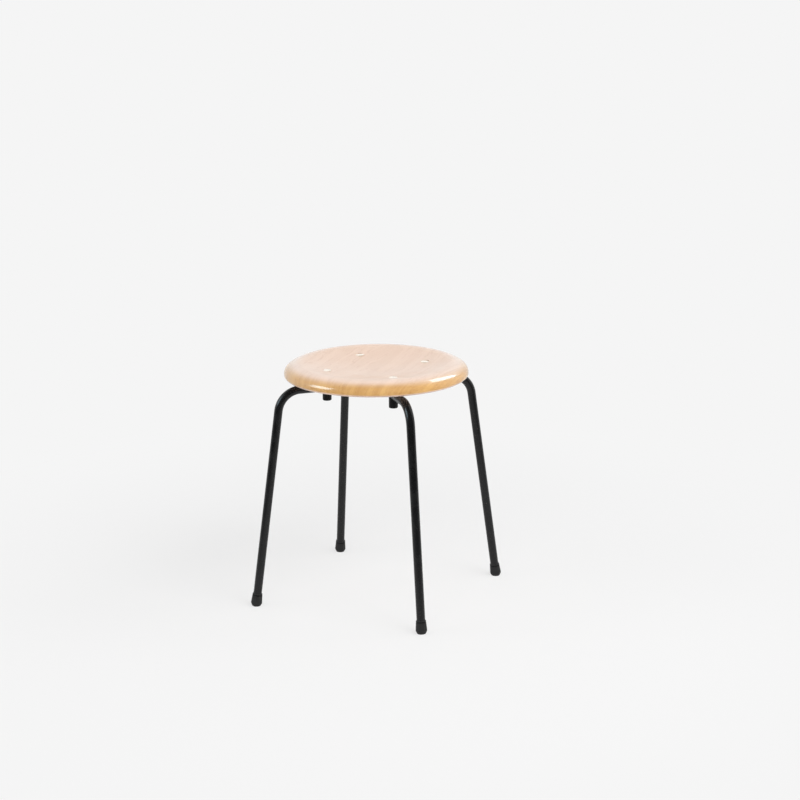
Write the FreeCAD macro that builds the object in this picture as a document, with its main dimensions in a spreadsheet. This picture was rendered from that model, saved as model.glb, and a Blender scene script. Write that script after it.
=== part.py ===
import FreeCAD, Part
import math
import os
import re

import Sketcher

# Stacking stool: a dished round seat of moulded beech on four bent tube legs.
# Millimetres. The origin lies on the floor under the seat's centre and +Z points up.
# Everything that repeats at a leg is drawn in the plane of that leg, with local +X
# pointing outwards, and is then turned about Z to the leg's place.

# Driving sizes. Each one can be changed by itself.
SIZES = {
    # Seat shell
    "seat_height": 458.2,            # floor to the crest of the rim
    "seat_diameter": 350.0,
    "seat_thickness": 12.0,
    "dish_radius": 580.0,            # radius of the hollow in the top
    "crest_radius": 41.0,            # top of the rolled rim
    "rim_inside_radius": 2.5,        # inside of the tight bend at the rim
    "rim_break_angle": 38.0,         # slope where the crest passes into the tight bend
    "lip_drop": 0.8,                 # straight run below the tight bend
    "lip_round_share": 0.42,         # rounding of the cut edge, as a share of the thickness
    # Frame
    "tube_diameter": 16.0,
    "tube_wall": 1.5,
    "foot_circle_radius": 246.9,     # where the leg axes meet the floor
    "leg_splay": 7.95,               # degrees from upright
    "leg_turn": -45.0,               # degrees from +X to the front right leg
    "bend_radius": 43.0,             # centreline of the bend
    "lip_gap": 2.0,                  # least gap between the lip and a tube
    "hub_width": 24.0,
    "hub_height": 22.0,
    "hub_edge": 1.0,
    "hub_gap": 1.1,                  # between the hub and the seat
    "weld_leg": 2.0,
    # Bolts through seat and tubes
    "bolt_circle_radius": 98.2,
    "bolt_diameter": 6.0,
    "bolt_clearance": 0.3,           # all round in the holes
    "bolt_tip": 0.8,
    "bolt_end": 2.0,                 # past the nut
    "head_diameter": 16.0,
    "head_height": 2.6,
    "head_rim": 2.0,
    "head_clearance": 0.25,          # all round in the seat's recess
    "head_sink": 1.6,                # recess floor below the dish, at the bolt's axis
    "neck_bite": 0.1,                # how far the square neck stands out past the shank
    "neck_length": 3.5,
    "neck_clearance": 0.1,
    # Spacer between the seat and the tube
    "spacer_diameter": 22.0,
    "spacer_wrap": 5.0,              # how far it comes down beside the tube
    "saddle_gap": 0.1,               # between a saddle and what it sits on
    # Washer, nut and stacking buffer below the tube
    "washer_diameter": 11.6,
    "washer_thickness": 1.6,
    "washer_wrap": 1.2,
    "nut_flats": 10.0,
    "nut_height": 5.0,
    "nut_chamfer_share": 0.12,       # of the nut's height
    "buffer_diameter": 17.0,
    "buffer_reach": 17.0,            # below the tube
    "buffer_wrap": 3.0,
    "buffer_round": 2.0,
    "buffer_pocket_gap": 0.1,        # round the washer and the nut
    "buffer_end_room": 1.0,          # under the bolt's end
    # Rubber foot
    "foot_height": 25.0,
    "foot_top_diameter": 18.6,
    "foot_lip": 0.9,
    "foot_wide_diameter": 21.4,
    "foot_wide_height": 5.5,
    "foot_tip_diameter": 15.0,
    "foot_tip_drop": 1.0,            # how far the axis runs on below the floor, before the trim
    "foot_round": 3.0,
    "foot_floor": 5.0,               # rubber under the disc
    "foot_fit": 0.05,
    "disc_thickness": 2.0,
    "disc_clearance": 0.2,
    "disc_edge": 0.4,
}

LEGS = ["front_right", "rear_right", "rear_left", "front_left"]
LEG_STEP = 360.0 / len(LEGS)


def derive(size):
    """Work out the sizes that follow from the driving ones."""
    made = {}
    turn = math.radians(size["rim_break_angle"])
    splay = math.radians(size["leg_splay"])
    seat_radius = size["seat_diameter"] / 2.0
    made["seat_radius"] = seat_radius
    made["tube_radius"] = size["tube_diameter"] / 2.0
    made["tube_bore_radius"] = made["tube_radius"] - size["tube_wall"]

    # Rim: the crest arc and the tight bend share a tangent at the break.
    made["rim_outside_radius"] = size["rim_inside_radius"] + size["seat_thickness"]
    made["bend_centre_r"] = seat_radius - made["rim_outside_radius"]
    between = size["crest_radius"] - made["rim_outside_radius"]
    made["crest_r"] = made["bend_centre_r"] - between * math.sin(turn)
    made["crest_centre_z"] = size["seat_height"] - size["crest_radius"]
    made["nose_z"] = made["crest_centre_z"] + between * math.cos(turn)
    made["crest_inside_radius"] = size["crest_radius"] - size["seat_thickness"]
    made["break_out_r"] = made["bend_centre_r"] + made["rim_outside_radius"] * math.sin(turn)
    made["break_out_z"] = made["nose_z"] + made["rim_outside_radius"] * math.cos(turn)
    made["break_in_r"] = made["bend_centre_r"] + size["rim_inside_radius"] * math.sin(turn)
    made["break_in_z"] = made["nose_z"] + size["rim_inside_radius"] * math.cos(turn)

    # Dish: its sphere is tangent to the crest arc.
    between = size["dish_radius"] + size["crest_radius"]
    slope = math.asin(made["crest_r"] / between)
    made["dish_centre_z"] = made["crest_centre_z"] + between * math.cos(slope)
    made["dish_under_radius"] = size["dish_radius"] + size["seat_thickness"]
    made["dish_edge_r"] = size["dish_radius"] * math.sin(slope)
    made["dish_edge_z"] = made["dish_centre_z"] - size["dish_radius"] * math.cos(slope)
    made["under_edge_r"] = made["dish_under_radius"] * math.sin(slope)
    made["under_edge_z"] = made["dish_centre_z"] - made["dish_under_radius"] * math.cos(slope)
    made["dish_z"] = made["dish_centre_z"] - size["dish_radius"]
    made["under_z"] = made["dish_centre_z"] - made["dish_under_radius"]

    # Lip: the cut edge of the shell, rounded on both sides.
    made["lip_round"] = size["seat_thickness"] * size["lip_round_share"]
    made["lip_turn_z"] = made["nose_z"] - size["lip_drop"]
    made["lip_z"] = made["lip_turn_z"] - made["lip_round"]
    made["lip_inside_r"] = seat_radius - size["seat_thickness"]

    # The tubes hang as high as the hub under the dish and the lip let them.
    below_dish = made["under_z"] - size["hub_gap"] - max(size["hub_height"], size["tube_diameter"]) / 2.0
    below_lip = made["lip_z"] - size["lip_gap"] - made["tube_radius"]
    made["tube_z"] = min(below_dish, below_lip)

    # Leg: an upright run, a bend and a level run to the hub.
    made["corner_r"] = size["foot_circle_radius"] - made["tube_z"] * math.tan(splay)
    tangent = size["bend_radius"] * math.tan((math.pi / 2.0 - splay) / 2.0)
    made["bend_inner_r"] = made["corner_r"] - tangent
    made["bend_outer_r"] = made["corner_r"] + tangent * math.sin(splay)
    made["bend_outer_z"] = made["tube_z"] - tangent * math.cos(splay)
    made["bend_centre_z"] = made["tube_z"] - size["bend_radius"]
    made["tube_end"] = size["foot_floor"] + size["disc_thickness"]
    made["tube_end_r"] = size["foot_circle_radius"] - made["tube_end"] * math.sin(splay)
    made["tube_end_z"] = made["tube_end"] * math.cos(splay)
    made["hub_face"] = size["hub_width"] / 2.0

    # Bolt station: heights from the tube's axis at the bolt circle.
    station = math.sqrt(size["dish_radius"] ** 2 - size["bolt_circle_radius"] ** 2)
    made["recess_z"] = made["dish_centre_z"] - station - size["head_sink"]
    made["head_seat"] = made["recess_z"] - made["tube_z"]
    made["bolt_hole_radius"] = size["bolt_diameter"] / 2.0 + size["bolt_clearance"]
    made["neck_half"] = size["bolt_diameter"] / 2.0 + size["neck_bite"]
    made["washer_bottom"] = made["tube_radius"] + size["washer_thickness"]
    made["nut_bottom"] = made["washer_bottom"] + size["nut_height"]
    made["bolt_bottom"] = made["nut_bottom"] + size["bolt_end"]
    made["nut_corner"] = size["nut_flats"] / math.sqrt(3.0)
    made["nut_chamfer"] = size["nut_height"] * size["nut_chamfer_share"]
    made["pocket_flats"] = size["nut_flats"] + 2.0 * size["buffer_pocket_gap"]
    made["pocket_corner"] = made["pocket_flats"] / math.sqrt(3.0)
    made["pocket_bottom"] = made["bolt_bottom"] + size["buffer_end_room"]
    made["washer_pocket_radius"] = size["washer_diameter"] / 2.0 + size["buffer_pocket_gap"]
    made["saddle_radius"] = made["tube_radius"] + size["saddle_gap"]
    made["buffer_bottom"] = made["tube_radius"] + size["buffer_reach"]
    made["foot_bore_radius"] = made["tube_radius"] + size["foot_fit"]
    made["disc_radius"] = made["foot_bore_radius"] - size["disc_clearance"]
    return made


SIZES.update(derive(SIZES))

doc = FreeCAD.newDocument("stacking_stool")
sheet = doc.addObject("Spreadsheet::Sheet", "Sizes")
for row, (alias, value) in enumerate(SIZES.items(), start=1):
    sheet.set("A%d" % row, alias)
    sheet.set("B%d" % row, repr(float(value)))
    sheet.setAlias("B%d" % row, alias)
doc.recompute()


def on_sheet(formula):
    """Turn a formula over the size names into one over the sheet's cells."""
    def cell(word):
        name = word.group()
        return "Sizes." + name if name in SIZES else name
    return re.sub(r"[a-z][a-z_]*", cell, formula)


def value_of(formula):
    """Work out a formula over the size names."""
    return float(sheet.evalExpression(on_sheet(formula)))


def bind(thing, name, formula):
    """Tie a property of an object to the sheet."""
    thing.setExpression(name, on_sheet(formula))


def new_body(label):
    """Start a sub-part."""
    body = doc.addObject("PartDesign::Body", label)
    body.Label = label
    return body


def origin_part(body, role):
    """Find an origin plane or axis of a body by its role."""
    return next(part for part in body.Origin.OriginFeatures if part.Role == role)


def new_sketch(body, name, role, offset="0"):
    """Put a sketch on one of the body's own origin planes, or at an offset from it."""
    sketch = body.newObject("Sketcher::SketchObject", body.Label + "_" + name)
    sketch.AttachmentSupport = (origin_part(body, role), [""])
    sketch.MapMode = "FlatFace"
    bind(sketch, "AttachmentOffset.Base.z", offset)
    return sketch


def hold(sketch, edge, end, across, up):
    """Bind a point of a sketch to two formulas."""
    for kind, formula, axis in (("DistanceX", across, -2), ("DistanceY", up, -1)):
        if formula == "0":
            sketch.addConstraint(Sketcher.Constraint("PointOnObject", edge, end, axis))
            continue
        number = sketch.addConstraint(Sketcher.Constraint(kind, -1, 1, edge, end, value_of(formula)))
        bind(sketch, "Constraints[%d]" % number, formula)


def point(across, up):
    """Place a pair of formulas on the sketch plane."""
    return FreeCAD.Vector(value_of(across), value_of(up), 0.0)


def angle_at(centre, place):
    """Direction of a place seen from an arc's centre."""
    return math.atan2(place.y - centre.y, place.x - centre.x)


def draw(sketch, corners, closed=True):
    """Draw an outline whose corners are bound to the sheet.

    A corner is (across, up), reached by a line, or (across, up, centre across, centre up,
    radius, turn), reached by an arc that turns "left" or "right".
    """
    first = 0 if closed else 1
    ends = []
    for index in range(first, len(corners)):
        before = point(*corners[index - 1][:2])
        here = point(*corners[index][:2])
        if len(corners[index]) == 2:
            edge = sketch.addGeometry(Part.LineSegment(before, here), False)
            ends.append((edge, 1, 2))
            continue
        centre = point(*corners[index][2:4])
        radius, turn = corners[index][4:]
        circle = Part.Circle(centre, FreeCAD.Vector(0, 0, 1), value_of(radius))
        start, stop = (before, here) if turn == "left" else (here, before)
        arc = Part.ArcOfCircle(circle, angle_at(centre, start), angle_at(centre, stop))
        edge = sketch.addGeometry(arc, False)
        number = sketch.addConstraint(Sketcher.Constraint("Radius", edge, value_of(radius)))
        bind(sketch, "Constraints[%d]" % number, radius)
        ends.append((edge, 1, 2) if turn == "left" else (edge, 2, 1))
    for number, (edge, start, stop) in enumerate(ends):
        after = ends[(number + 1) % len(ends)]
        if closed or number + 1 < len(ends):
            sketch.addConstraint(Sketcher.Constraint("Coincident", edge, stop, after[0], after[1]))
        hold(sketch, edge, stop, *corners[first + number][:2])
    if not closed:
        hold(sketch, ends[0][0], ends[0][1], *corners[0][:2])


def draw_circle(sketch, across, up, radius):
    """Draw a circle bound to the sheet."""
    circle = Part.Circle(point(across, up), FreeCAD.Vector(0, 0, 1), value_of(radius))
    edge = sketch.addGeometry(circle, False)
    number = sketch.addConstraint(Sketcher.Constraint("Radius", edge, value_of(radius)))
    bind(sketch, "Constraints[%d]" % number, radius)
    hold(sketch, edge, 3, across, up)


def draw_rectangle(sketch, left, low, right, high):
    """Draw an upright rectangle bound to the sheet."""
    draw(sketch, [(left, low), (right, low), (right, high), (left, high)])


def draw_hexagon(sketch, corner, flats):
    """Draw a hexagon round the sketch's origin, with two corners on its first axis."""
    half = corner + " / 2"
    low = "0 - " + flats + " / 2"
    high = flats + " / 2"
    draw(sketch, [
        (corner, "0"), (half, high), ("0 - " + half, high),
        ("0 - " + corner, "0"), ("0 - " + half, low), (half, low),
    ])


def feature(body, kind, name, sketch):
    """Add a sketch-based feature to a body."""
    made = body.newObject("PartDesign::" + kind, body.Label + "_" + name)
    made.Profile = sketch
    sketch.Visibility = False
    return made


def revolve(body, name, sketch, axis="V_Axis", kind="Revolution"):
    """Turn a profile once round an axis of its sketch."""
    made = feature(body, kind, name, sketch)
    made.ReferenceAxis = (sketch, [axis])
    return made


def pad(body, name, sketch, length):
    """Raise a profile along its sketch's normal."""
    made = feature(body, "Pad", name, sketch)
    bind(made, "Length", length)
    return made


def pocket(body, name, sketch, length="", upwards=False):
    """Cut a profile to a depth, or right through both ways when no depth is given."""
    made = feature(body, "Pocket", name, sketch)
    if length:
        bind(made, "Length", length)
        made.Reversed = upwards
    else:
        made.SideType = "Symmetric"
        made.Type = "ThroughAll"
    return made


def circle_edges(shape, radius, height):
    """Names of the circular edges of one radius at one height."""
    found = []
    for number, edge in enumerate(shape.Edges, start=1):
        if not isinstance(edge.Curve, Part.Circle):
            continue
        if math.isclose(edge.Curve.Radius, radius, rel_tol=1e-6) and \
                math.isclose(edge.Curve.Center.z, height, rel_tol=1e-6, abs_tol=1e-6):
            found.append("Edge%d" % number)
    return found


def soften(body, kind, name, base, edges, formula):
    """Fillet or chamfer some edges of a feature."""
    made = body.newObject("PartDesign::" + kind, body.Label + "_" + name)
    made.Base = (base, edges)
    bind(made, "Radius" if kind == "Fillet" else "Size", formula)
    return made


def leg_turn(number):
    """Degrees from +X to a leg."""
    return SIZES["leg_turn"] + LEG_STEP * number


def turn_to_leg(body, number):
    """Turn a piece that is drawn in the leg's plane to its leg."""
    body.Placement = FreeCAD.Placement(
        FreeCAD.Vector(), FreeCAD.Rotation(FreeCAD.Vector(0, 0, 1), leg_turn(number)))


def move_to_station(body, number):
    """Move a piece that is drawn round its own bolt axis to the tube above its leg."""
    turned = FreeCAD.Rotation(FreeCAD.Vector(0, 0, 1), leg_turn(number))
    place = turned.multVec(FreeCAD.Vector(SIZES["bolt_circle_radius"], 0, SIZES["tube_z"]))
    body.Placement = FreeCAD.Placement(place, turned)


def move_to_floor(body, number):
    """Lean a piece that is drawn round the upright leg axis, and stand it under its leg."""
    turned = FreeCAD.Rotation(FreeCAD.Vector(0, 0, 1), leg_turn(number))
    leaned = FreeCAD.Rotation(FreeCAD.Vector(0, 1, 0), -SIZES["leg_splay"])
    place = turned.multVec(FreeCAD.Vector(SIZES["foot_circle_radius"], 0, 0))
    body.Placement = FreeCAD.Placement(place, turned.multiply(leaned))


def make_seat():
    """Moulded shell: dish, crest, tight bend and rounded lip in one profile, then the bolt recesses."""
    body = new_body("seat")
    profile = new_sketch(body, "profile", "XZ_Plane")
    dish = ("0", "dish_centre_z")
    crest = ("crest_r", "crest_centre_z")
    bend = ("bend_centre_r", "nose_z")
    draw(profile, [
        ("0", "dish_z"),
        ("dish_edge_r", "dish_edge_z", *dish, "dish_radius", "left"),
        ("break_out_r", "break_out_z", *crest, "crest_radius", "right"),
        ("seat_radius", "nose_z", *bend, "rim_outside_radius", "right"),
        ("seat_radius", "lip_turn_z"),
        ("seat_radius - lip_round", "lip_z", "seat_radius - lip_round", "lip_turn_z", "lip_round", "right"),
        ("lip_inside_r + lip_round", "lip_z"),
        ("lip_inside_r", "lip_turn_z", "lip_inside_r + lip_round", "lip_turn_z", "lip_round", "right"),
        ("lip_inside_r", "nose_z"),
        ("break_in_r", "break_in_z", *bend, "rim_inside_radius", "left"),
        ("under_edge_r", "under_edge_z", *crest, "crest_inside_radius", "left"),
        ("0", "under_z", *dish, "dish_under_radius", "right"),
    ])
    revolve(body, "shell", profile)
    recess = new_sketch(body, "recess", "XY_Plane", "recess_z")
    draw_circle(recess, "bolt_circle_radius", "0", "head_diameter / 2 + head_clearance")
    cuts = [pocket(body, "head_recess", recess, "seat_height - recess_z", upwards=True)]
    neck = new_sketch(body, "neck", "XY_Plane", "recess_z")
    half = "(neck_half + neck_clearance)"
    draw_rectangle(neck, "bolt_circle_radius - " + half, "0 - " + half, "bolt_circle_radius + " + half, half)
    cuts.append(pocket(body, "neck_hole", neck, "neck_length + neck_clearance"))
    hole = new_sketch(body, "hole", "XY_Plane", "recess_z")
    draw_circle(hole, "bolt_circle_radius", "0", "bolt_hole_radius")
    cuts.append(pocket(body, "bolt_hole", hole, "seat_height - lip_z"))
    pattern = body.newObject("PartDesign::PolarPattern", "seat_bolt_places")
    pattern.Originals = cuts
    pattern.Axis = (origin_part(body, "Z_Axis"), [""])
    pattern.Occurrences = len(LEGS)
    body.Tip = pattern
    turn_to_leg(body, 0)


def make_leg(number):
    """Bent tube: one annular section swept along the leg, then drilled for the seat bolt."""
    body = new_body(LEGS[number] + "_leg")
    path = new_sketch(body, "path", "XZ_Plane")
    draw(path, [
        ("hub_face", "tube_z"),
        ("bend_inner_r", "tube_z"),
        ("bend_outer_r", "bend_outer_z", "bend_inner_r", "bend_centre_z", "bend_radius", "right"),
        ("tube_end_r", "tube_end_z"),
    ], closed=False)
    section = new_sketch(body, "section", "YZ_Plane", "hub_face")
    draw_circle(section, "0", "tube_z", "tube_radius")
    draw_circle(section, "0", "tube_z", "tube_bore_radius")
    tube = feature(body, "AdditivePipe", "tube", section)
    tube.Spine = (path, ["Edge%d" % edge for edge in range(1, 1 + path.GeometryCount)])
    hole = new_sketch(body, "hole", "XY_Plane", "tube_z")
    draw_circle(hole, "bolt_circle_radius", "0", "bolt_hole_radius")
    pocket(body, "bolt_hole", hole)
    turn_to_leg(body, number)


def make_hub():
    """Square steel block with a flat for each tube and broken edges."""
    body = new_body("frame_hub")
    section = new_sketch(body, "section", "XY_Plane", "tube_z - hub_height / 2")
    draw_rectangle(section, "0 - hub_face", "0 - hub_face", "hub_face", "hub_face")
    block = pad(body, "block", section, "hub_height")
    doc.recompute()
    edges = ["Edge%d" % number for number in range(1, 1 + len(block.Shape.Edges))]
    soften(body, "Chamfer", "broken_edges", block, edges, "hub_edge")
    turn_to_leg(body, 0)


def make_weld(number):
    """Hollow-faced bead round the tube where it meets the hub."""
    body = new_body(LEGS[number] + "_weld")
    profile = new_sketch(body, "profile", "XZ_Plane")
    inner = "tube_z + tube_radius"
    outer = inner + " + weld_leg"
    draw(profile, [
        ("hub_face", inner),
        ("hub_face + weld_leg", inner),
        ("hub_face", outer, "hub_face + weld_leg", outer, "weld_leg", "right"),
    ])
    axis = Part.LineSegment(point("hub_face", "tube_z"), point("hub_face + weld_leg", "tube_z"))
    edge = profile.addGeometry(axis, True)
    hold(profile, edge, 1, "hub_face", "tube_z")
    hold(profile, edge, 2, "hub_face + weld_leg", "tube_z")
    revolve(body, "bead", profile, "Axis0")
    turn_to_leg(body, number)


def make_spacer(number):
    """Round block that carries the sloping seat on the round tube."""
    body = new_body(LEGS[number] + "_spacer")
    section = new_sketch(body, "section", "XY_Plane", "tube_z + tube_radius - spacer_wrap")
    draw_circle(section, "bolt_circle_radius", "0", "spacer_diameter / 2")
    pad(body, "block", section, "seat_height - tube_z - tube_radius + spacer_wrap")
    under = new_sketch(body, "under_seat", "XZ_Plane")
    centre = ("0", "dish_centre_z")
    radius = "dish_under_radius + saddle_gap"
    across = "bolt_circle_radius + spacer_diameter"
    rise = "dish_centre_z - sqrt((%s)^2 - (%s)^2)" % (radius, across)
    draw(under, [
        ("0", "under_z - saddle_gap"),
        (across, rise, *centre, radius, "left"),
        (across, "seat_height + spacer_diameter"),
        ("0", "seat_height + spacer_diameter"),
    ])
    revolve(body, "dish_cut", under, kind="Groove")
    saddle = new_sketch(body, "saddle", "YZ_Plane")
    draw_circle(saddle, "0", "tube_z", "saddle_radius")
    pocket(body, "saddle_cut", saddle)
    hole = new_sketch(body, "hole", "XY_Plane", "tube_z")
    draw_circle(hole, "bolt_circle_radius", "0", "bolt_hole_radius")
    pocket(body, "bolt_hole", hole)
    turn_to_leg(body, number)


def make_bolt(number):
    """Coach bolt: low domed head, square neck and round shank."""
    body = new_body(LEGS[number] + "_bolt")
    profile = new_sketch(body, "profile", "XZ_Plane")
    rise = "(head_height - head_rim)"
    dome = "(head_diameter * head_diameter / 4 + %s * %s) / (2 * %s)" % (rise, rise, rise)
    draw(profile, [
        ("0", "0 - bolt_bottom"),
        ("bolt_diameter / 2 - bolt_tip", "0 - bolt_bottom"),
        ("bolt_diameter / 2", "bolt_tip - bolt_bottom"),
        ("bolt_diameter / 2", "head_seat"),
        ("head_diameter / 2", "head_seat"),
        ("head_diameter / 2", "head_seat + head_rim"),
        ("0", "head_seat + head_height", "0", "head_seat + head_height - " + dome, dome, "left"),
    ])
    revolve(body, "shank_and_head", profile)
    neck = new_sketch(body, "neck", "XY_Plane", "head_seat - neck_length")
    draw_rectangle(neck, "0 - neck_half", "0 - neck_half", "neck_half", "neck_half")
    pad(body, "square_neck", neck, "neck_length")
    move_to_station(body, number)


def make_washer(number):
    """Washer with a flat face for the nut and a hollow one for the tube."""
    body = new_body(LEGS[number] + "_washer")
    section = new_sketch(body, "section", "XY_Plane", "0 - washer_bottom")
    draw_circle(section, "0", "0", "washer_diameter / 2")
    draw_circle(section, "0", "0", "bolt_hole_radius")
    pad(body, "ring", section, "washer_thickness + washer_wrap")
    saddle = new_sketch(body, "saddle", "YZ_Plane")
    draw_circle(saddle, "0", "0", "saddle_radius")
    pocket(body, "saddle_cut", saddle)
    move_to_station(body, number)


def make_nut(number):
    """Hexagon nut with its lower corners turned off."""
    body = new_body(LEGS[number] + "_nut")
    section = new_sketch(body, "section", "XY_Plane", "0 - nut_bottom")
    draw_hexagon(section, "nut_corner", "nut_flats")
    draw_circle(section, "0", "0", "bolt_diameter / 2 + buffer_pocket_gap")
    pad(body, "block", section, "nut_height")
    corner = new_sketch(body, "corner", "XZ_Plane")
    draw(corner, [
        ("nut_flats / 2", "0 - nut_bottom"),
        ("nut_corner + nut_chamfer", "0 - nut_bottom"),
        ("nut_corner + nut_chamfer", "nut_chamfer - nut_bottom"),
        ("nut_corner", "nut_chamfer - nut_bottom"),
    ])
    revolve(body, "corner_cut", corner, kind="Groove")
    move_to_station(body, number)


def make_buffer(number):
    """Stacking buffer: a plug with a saddle for the tube and pockets for washer and nut."""
    body = new_body(LEGS[number] + "_stacking_buffer")
    section = new_sketch(body, "section", "XY_Plane", "0 - buffer_bottom")
    draw_circle(section, "0", "0", "buffer_diameter / 2")
    block = pad(body, "block", section, "buffer_bottom - tube_radius + buffer_wrap")
    doc.recompute()
    edges = circle_edges(block.Shape, value_of("buffer_diameter / 2"), value_of("0 - buffer_bottom"))
    soften(body, "Fillet", "rounded_end", block, edges, "buffer_round")
    saddle = new_sketch(body, "saddle", "YZ_Plane")
    draw_circle(saddle, "0", "0", "saddle_radius")
    pocket(body, "saddle_cut", saddle)
    washer = new_sketch(body, "washer_pocket", "XY_Plane", "0 - washer_bottom")
    draw_circle(washer, "0", "0", "washer_pocket_radius")
    pocket(body, "washer_room", washer, "washer_bottom", upwards=True)
    nut = new_sketch(body, "nut_pocket", "XY_Plane", "0 - washer_bottom")
    draw_hexagon(nut, "pocket_corner", "pocket_flats")
    pocket(body, "nut_room", nut, "pocket_bottom - washer_bottom")
    move_to_station(body, number)


def make_foot(number):
    """Flared rubber cup over the tube's end, trimmed flat where it stands on the floor."""
    body = new_body(LEGS[number] + "_foot")
    profile = new_sketch(body, "profile", "XZ_Plane")
    draw(profile, [
        ("0", "0 - foot_tip_drop"),
        ("foot_tip_diameter / 2", "0 - foot_tip_drop"),
        ("foot_wide_diameter / 2", "foot_wide_height"),
        ("foot_top_diameter / 2", "foot_height - foot_lip"),
        ("foot_top_diameter / 2 - foot_lip", "foot_height"),
        ("foot_bore_radius", "foot_height"),
        ("foot_bore_radius", "foot_floor"),
        ("0", "foot_floor"),
    ])
    cup = revolve(body, "cup", profile)
    doc.recompute()
    tip = circle_edges(cup.Shape, value_of("foot_tip_diameter / 2"), value_of("0 - foot_tip_drop"))
    wide = circle_edges(cup.Shape, value_of("foot_wide_diameter / 2"), value_of("foot_wide_height"))
    soften(body, "Fillet", "rounded_tip", cup, tip + wide, "foot_round")
    floor = new_sketch(body, "floor", "XZ_Plane")
    reach = "foot_wide_diameter"
    rise = "foot_wide_diameter * tan(leg_splay)"
    draw(floor, [
        ("0 - " + reach, rise),
        ("0 - " + reach, "0 - " + reach),
        (reach, "0 - " + reach),
        (reach, "0 - " + rise),
    ])
    pocket(body, "floor_trim", floor)
    move_to_floor(body, number)


def make_disc(number):
    """Steel disc between the tube's end and the rubber."""
    body = new_body(LEGS[number] + "_foot_disc")
    section = new_sketch(body, "section", "XY_Plane", "foot_floor")
    draw_circle(section, "0", "0", "disc_radius")
    plate = pad(body, "plate", section, "disc_thickness")
    doc.recompute()
    edges = circle_edges(plate.Shape, SIZES["disc_radius"], SIZES["foot_floor"])
    edges += circle_edges(plate.Shape, SIZES["disc_radius"], SIZES["tube_end"])
    soften(body, "Chamfer", "broken_edges", plate, edges, "disc_edge")
    move_to_floor(body, number)


make_seat()
make_hub()
for leg in range(len(LEGS)):
    make_leg(leg)
    make_weld(leg)
    make_spacer(leg)
    make_bolt(leg)
    make_washer(leg)
    make_nut(leg)
    make_buffer(leg)
    make_foot(leg)
    make_disc(leg)
doc.recompute()

for thing in doc.Objects:
    if "Invalid" in thing.State or "Error" in thing.State:
        raise RuntimeError("%s failed: %s" % (thing.Label, thing.State))

bodies = [thing for thing in doc.Objects if thing.TypeId == "PartDesign::Body"]
for body in bodies:
    if body.Shape.isNull() or not body.Shape.isValid():
        raise RuntimeError("%s has no valid shape" % body.Label)

os.makedirs("parts", exist_ok=True)
for body in bodies:
    body.Shape.exportStep(os.path.join("parts", body.Label + ".step"))
    print("%-32s %d solid %9.1f mm3" % (body.Label, len(body.Shape.Solids), body.Shape.Volume))
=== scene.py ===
"""Looks of a stacking stool: each piece's finish, weld beads, foot grooves, a studio and a camera.

Everything is in metres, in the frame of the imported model: the origin lies on the floor under the
seat's centre, +Z points up, and the four legs stand on the diagonals between X and Y.
"""

import logging
import math
from collections.abc import Callable, Mapping
from dataclasses import dataclass, field
from enum import Enum
from typing import ClassVar

import bpy
from mathutils import Matrix, Vector


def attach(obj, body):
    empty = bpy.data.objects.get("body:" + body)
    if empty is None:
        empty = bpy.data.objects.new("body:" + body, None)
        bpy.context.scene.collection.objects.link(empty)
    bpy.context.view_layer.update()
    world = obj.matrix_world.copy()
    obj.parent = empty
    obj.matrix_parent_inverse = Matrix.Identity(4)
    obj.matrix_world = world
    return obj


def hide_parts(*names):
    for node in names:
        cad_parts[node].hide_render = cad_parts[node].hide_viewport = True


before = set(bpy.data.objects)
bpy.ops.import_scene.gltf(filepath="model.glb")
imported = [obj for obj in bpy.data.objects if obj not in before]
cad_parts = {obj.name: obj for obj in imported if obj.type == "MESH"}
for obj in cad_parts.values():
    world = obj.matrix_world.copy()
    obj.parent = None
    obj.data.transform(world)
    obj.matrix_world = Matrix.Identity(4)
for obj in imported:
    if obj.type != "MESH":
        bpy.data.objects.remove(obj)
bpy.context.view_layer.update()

LOG = logging.getLogger("stool")
BODY = "root"
MM = 0.001
FIRST_LEG_DEGREES = -45.0
NONE_TO_FULL = (0.0, 1.0)
FULL_TO_NONE = (1.0, 0.0)
WHITE = (1.0, 1.0, 1.0, 1.0)
DAYLIGHT = (1.0, 1.0, 1.0)
SKYLIGHT = (0.68, 0.89, 1.0)

Socket = bpy.types.NodeSocket
Feed = Socket | float | tuple[float, ...]
Colour = tuple[float, ...]
Span = tuple[float, float]


def tone(red: int, green: int, blue: int) -> Colour:
    """Turn a screen colour, by the sRGB curve, into the linear colour that shaders take.

    Args:
        red: Screen value from 0 to 255.
        green: Screen value from 0 to 255.
        blue: Screen value from 0 to 255.

    Returns:
        The colour as linear red, green, blue and an alpha of 1.
    """
    shares = [value / 255 for value in (red, green, blue)]
    parts = [s / 12.92 if s <= 0.04045 else ((s + 0.055) / 1.055) ** 2.4 for s in shares]
    return (parts[0], parts[1], parts[2], 1.0)


class Leg(Enum):
    """The four legs in turn, as the CAD nodes name them."""

    FRONT_RIGHT = "front_right"
    REAR_RIGHT = "rear_right"
    REAR_LEFT = "rear_left"
    FRONT_LEFT = "front_left"

    @property
    def turn(self) -> float:
        """Radians about Z from +X to the leg."""
        return math.radians(FIRST_LEG_DEGREES + 360.0 / len(Leg) * list(Leg).index(self))

    def node(self, piece: str) -> str:
        """Name of the leg's CAD node of this piece."""
        return f"{self.value}_{piece}"


class Slot(Enum):
    """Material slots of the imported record."""

    BEECH = "beech"
    FRAME_PAINT = "frame_paint"
    RUBBER = "black_rubber"
    PLASTIC = "black_plastic"
    BRIGHT_STEEL = "bright_steel"
    ZINC_STEEL = "zinc_steel"


class Mark(Enum):
    """Where a finish shows its second colour, as the shared relief names its outputs."""

    SMUDGES = "Smudge"
    SPECKS = "Speck"


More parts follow.
